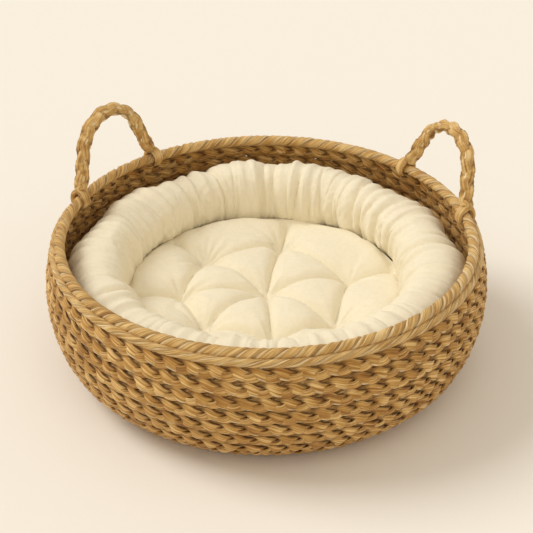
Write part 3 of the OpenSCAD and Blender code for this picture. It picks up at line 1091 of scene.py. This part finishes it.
def puckers(points, tufts):
    """Small folds that radiate from every tuft."""
    height = np.zeros(len(points))
    for tuft in tufts:
        gap = points - tuft
        distance = np.hypot(*gap.T)
        angle = np.arctan2(gap[:, 1], gap[:, 0])
        folds = np.zeros(len(points))
        for _ in range(4):
            folds += np.cos(rng.integers(7, 17) * angle + rng.uniform(0, TAU))
        rise = PUCKER_HEIGHT * folds * np.exp(-distance / PUCKER_REACH)
        height += rise * smooth_step(distance / PUCKER_START)
    return height


def relax(piece, chosen, rounds):
    """Moves chosen points half-way to the middle of their neighbours, some rounds over."""
    mesh = piece.data
    edges = np.empty(len(mesh.edges) * 2, np.int32)
    mesh.edges.foreach_get("vertices", edges)
    a, b = edges.reshape(-1, 2).T
    count = np.bincount(a, minlength=len(mesh.vertices)) + np.bincount(b, minlength=len(mesh.vertices))
    co = points_of(mesh)
    for _ in range(rounds):
        total = np.zeros_like(co)
        np.add.at(total, a, co[b])
        np.add.at(total, b, co[a])
        middle = total / count[:, None]
        co[chosen] += 0.5 * (middle[chosen] - co[chosen])
    move_points(mesh, co)


def crease_pad(piece, tufts):
    """Draws the top in at the tufts and along the creases between them, and adds fine folds."""
    co = points_of(piece.data) / MM
    flat = co[:, :2]
    edge = np.hypot(*flat.T)
    on_top = (co[:, 2] > TUFT_BOTTOM_Z - 12) & (edge < PAD_EDGE_R - 2)
    nearest, crease = tuft_distances(flat, tufts)
    drop = CREASE_DEPTH * np.exp(-crease / CREASE_REACH) * smooth_step(nearest / 16)
    drop += PIT_DEPTH * np.exp(-nearest / PIT_REACH) - puckers(flat, tufts)
    co[:, 2] -= drop * on_top * smooth_step((PAD_EDGE_R - 2 - edge) / 10)
    move_points(piece.data, co * MM)


def add_pad(cotton, wadding):
    unit_disc, border, disc_quads = disc_grid(PAD_CELLS)
    low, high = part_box("pad_cover")
    bottom_z = low.z / MM
    outer_r = high.x / MM
    shelf_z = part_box("bolster_seam")[0].z / MM
    tufts = tuft_places()

    top = unit_disc * PAD_EDGE_R
    edge = np.hypot(*top.T)
    nearest, crease = tuft_distances(top, tufts)
    top_z = PAD_TOP_Z - (PAD_TOP_Z - TUFT_BOTTOM_Z) * np.exp(-nearest / DIMPLE_REACH)
    top_z -= FIRST_CREASE_DEPTH * np.exp(-crease / FIRST_CREASE_REACH) * smooth_step(nearest / 20)
    edge_share = smooth_step((edge - (PAD_EDGE_R - PAD_TUCK)) / PAD_TUCK)
    top_z = top_z * (1 - edge_share) + PAD_EDGE_Z * edge_share
    vertices = [np.column_stack([top, top_z])]

    angles = np.arctan2(unit_disc[border, 1], unit_disc[border, 0])
    outline = [(164.0, 73.0), (167.0, 65.5), (172.0, shelf_z), (186.0, shelf_z - 0.4),
               (205.0, shelf_z - 1.0), (outer_r - 1, shelf_z - 7), (outer_r, 40.0),
               (outer_r - 0.5, 25.0), (205.0, 16.8), (194.0, 12.0), (178.0, bottom_z + 0.2)]
    count = len(border)
    first_ring = len(top)
    for r, z in outline:
        vertices.append(np.column_stack([r * np.cos(angles), r * np.sin(angles), np.full(count, z)]))
    under_start = first_ring + len(outline) * count
    under = unit_disc * PAD_UNDER_R
    vertices.append(np.column_stack([under, np.full(len(under), bottom_z + 0.1)]))

    rings = [border] + [first_ring + k * count + np.arange(count) for k in range(len(outline))]
    rings.append(under_start + border)
    quads = [disc_quads, under_start + disc_quads[:, ::-1]]
    for upper, lower in zip(rings, rings[1:]):
        quads.append(np.stack([upper, lower, np.roll(lower, -1), np.roll(upper, -1)], -1))
    quads = np.concatenate(quads)
    piece = mesh_object("tufted_pad", np.concatenate(vertices), quads.ravel(),
                        np.arange(len(quads)) * 4, cotton)
    held = np.ones(len(piece.data.vertices))
    held[:len(top)] = (nearest < TUFT_HELD_R) | (edge > PAD_EDGE_R - 1)
    inflate(piece, held, pressure=4.0, growth=0.04, cap=9.0)
    relax(piece, np.flatnonzero(held < 0.5), rounds=2)
    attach(piece, "cushion")
    smooth_co = points_of(piece.data)
    draws = rng.bit_generator.state
    crease_pad(piece, tufts)
    add_wadding("pad_wadding", piece, "pad_filling", wadding, PAD_WADDING_GAP)
    move_points(piece.data, smooth_co)
    subdivide(piece)
    rng.bit_generator.state = draws
    crease_pad(piece, tufts)
    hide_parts("pad_cover")
    return tufts


def add_tuft_threads(tufts, material):
    """A thread through the pad at each tuft, with a small knot at the bottom of the dimple."""
    strands = Strands(section=8)
    low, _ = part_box("tuft_ties")
    for x, y in tufts:
        count = THREAD_SAMPLES
        heights = np.linspace(low.z / MM + 0.5, TUFT_KNOT_Z - KNOT_THREAD_R, count)
        line = np.column_stack([np.full(count, x), np.full(count, y), heights])
        half = np.full(count, THREAD_R)
        strands.add(line, np.tile([1.0, 0, 0], (count, 1)), half, half, np.zeros(count), THREAD_R,
                    np.full(count, 0.5), False, np.zeros(count))
        count = KNOT_SAMPLES
        a = TAU * np.arange(count) / count
        knot = np.column_stack([x + KNOT_R * np.cos(a), y + KNOT_R * np.sin(a),
                                np.full(count, TUFT_KNOT_Z)])
        half = np.full(count, KNOT_THREAD_R)
        strands.add(knot, np.tile([0, 0, 1.0], (count, 1)), half, half, np.zeros(count), KNOT_THREAD_R,
                    np.full(count, 0.5), True, np.zeros(count))
    piece = strands.finish("tuft_threads", material)
    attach(piece, "cushion")
    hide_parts("tuft_ties")


def add_finishes():
    thread = plain_thread_material("linen_thread", (0.50, 0.36, 0.18))
    cotton_thread = plain_thread_material("cotton_thread", (0.85, 0.79, 0.62))
    steel = steel_material()
    finishes = {"seam_thread": thread, "rim_hoop": steel, "handle_left_core": steel,
                "handle_right_core": steel, "bolster_seam": cotton_thread}
    for node, material in finishes.items():
        mesh = frame["nodes"][node].data
        mesh.materials.clear()
        mesh.materials.append(material)


add_camera()
add_studio()
wall_straw = straw_material("plait_straw", dark=(0.26, 0.100, 0.016), middle=(0.54, 0.29, 0.068),
                            light=(0.88, 0.61, 0.26), painted_shade_colour=(0.10, 0.035, 0.007))
rope_straw = straw_material("rope_straw", dark=(0.36, 0.17, 0.040), middle=(0.64, 0.39, 0.125),
                            light=(0.88, 0.64, 0.31), painted_shade_colour=(0.15, 0.06, 0.014))
cotton = cotton_material("ivory_cotton", colour=(0.92, 0.85, 0.67), shade=(0.90, 0.82, 0.63))
wadding = wadding_material()
for number in range(1, WALL_COURSES + 1):
    add_wall_course(number, wall_straw)
add_base(wall_straw)
rope_ring("twisted_rim_rope", "rim_rope", RIM_ROPE, rope_straw)
rope_ring("twisted_binder_rope", "binder_rope", BINDER_ROPE, rope_straw, near_foot)
for side in (-1, 1):
    add_handle(side, rope_straw)
add_bolster(cotton, wadding)
tufts = add_pad(cotton, wadding)
add_tuft_threads(tufts, plain_thread_material("tuft_thread", (0.85, 0.79, 0.62)))
add_finishes()
